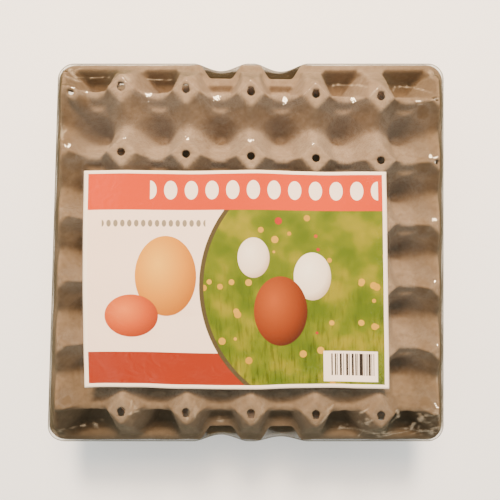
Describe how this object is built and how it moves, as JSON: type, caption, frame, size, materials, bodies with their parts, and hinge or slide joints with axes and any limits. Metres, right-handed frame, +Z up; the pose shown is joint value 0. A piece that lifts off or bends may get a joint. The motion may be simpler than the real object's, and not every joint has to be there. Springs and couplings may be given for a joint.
{
  "type": "egg carton with eggs",
  "caption": "Shrink-wrapped pack of eggs: eggs standing in a moulded pulp tray under a second pulp tray, with a paper label on its post tops and clear film all round.",
  "frame": {"origin": "centre of the pack's bounding box, on the surface it lies on", "axes": "+Z up; +X to the right along the label's long edge, across the cover's six cups; +Y away from the viewer, toward the label's top"},
  "size_m": [0.3107, 0.3024, 0.0988],
  "materials": {
    "pulp": "matte",
    "eggshell": "matte",
    "label": "satin",
    "film": "gloss"
  },
  "bodies": {
    "root": {"base_tray": "pulp", "cover_tray": "pulp", "egg_01": "eggshell", "egg_02": "eggshell", "egg_03": "eggshell", "egg_04": "eggshell", "egg_05": "eggshell", "egg_06": "eggshell", "egg_07": "eggshell", "egg_08": "eggshell", "egg_09": "eggshell", "egg_10": "eggshell", "egg_11": "eggshell", "egg_12": "eggshell", "egg_13": "eggshell", "egg_14": "eggshell", "egg_15": "eggshell", "egg_16": "eggshell", "egg_17": "eggshell", "egg_18": "eggshell", "egg_19": "eggshell", "egg_20": "eggshell", "egg_21": "eggshell", "egg_22": "eggshell", "egg_23": "eggshell", "egg_24": "eggshell", "egg_25": "eggshell", "egg_26": "eggshell", "egg_27": "eggshell", "egg_28": "eggshell", "egg_29": "eggshell", "egg_30": "eggshell", "label": "label", "film": "film"}
  },
  "joints": []
}
